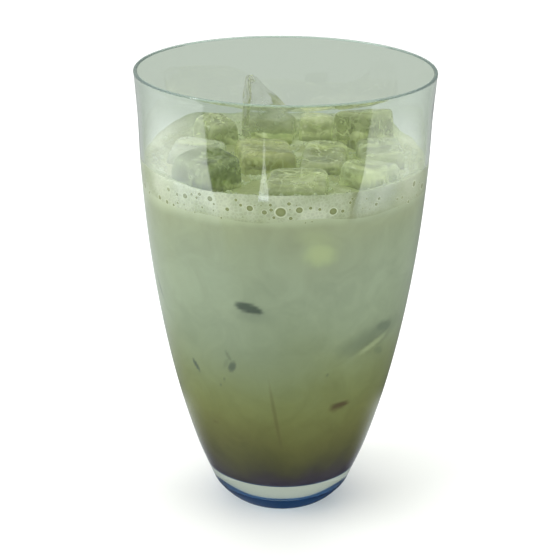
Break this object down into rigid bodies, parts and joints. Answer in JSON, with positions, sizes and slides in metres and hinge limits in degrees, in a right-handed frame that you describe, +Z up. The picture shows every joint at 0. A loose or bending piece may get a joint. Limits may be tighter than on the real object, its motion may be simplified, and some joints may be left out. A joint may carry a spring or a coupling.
{
  "type": "iced matcha latte in a glass",
  "caption": "Tall flared tumbler of iced green milk tea: dark sweet bottom, olive middle, pale milky top, a froth band and ice cubes standing out of it.",
  "frame": {"origin": "middle of the glass's foot, on the surface it stands on", "axes": "+Z up along the glass's axis; -Y is the front of the drink, +X its right seen from the front"},
  "size_m": [0.088, 0.088, 0.1364],
  "materials": {
    "clear_glass": "clear, smooth, polished lip",
    "dark_sweet_layer": "wet, dark purple-brown",
    "matcha_layer": "wet, olive green",
    "milky_matcha": "wet, pale milky green",
    "froth": "fine froth with scattered bubbles",
    "clear_ice": "wet ice, clear to slightly cloudy"
  },
  "bodies": {
    "root": {"glass": "clear_glass", "dark_layer": "dark_sweet_layer", "matcha_layer": "matcha_layer", "milk_layer": "milky_matcha", "foam": "froth", "ice_front": "clear_ice", "ice_front_left": "clear_ice", "ice_right_front": "clear_ice", "ice_middle": "clear_ice", "ice_middle_right": "clear_ice", "ice_right": "clear_ice", "ice_right_back": "clear_ice", "ice_back": "clear_ice", "ice_peak": "clear_ice", "ice_back_left": "clear_ice", "ice_left": "clear_ice"}
  },
  "joints": []
}
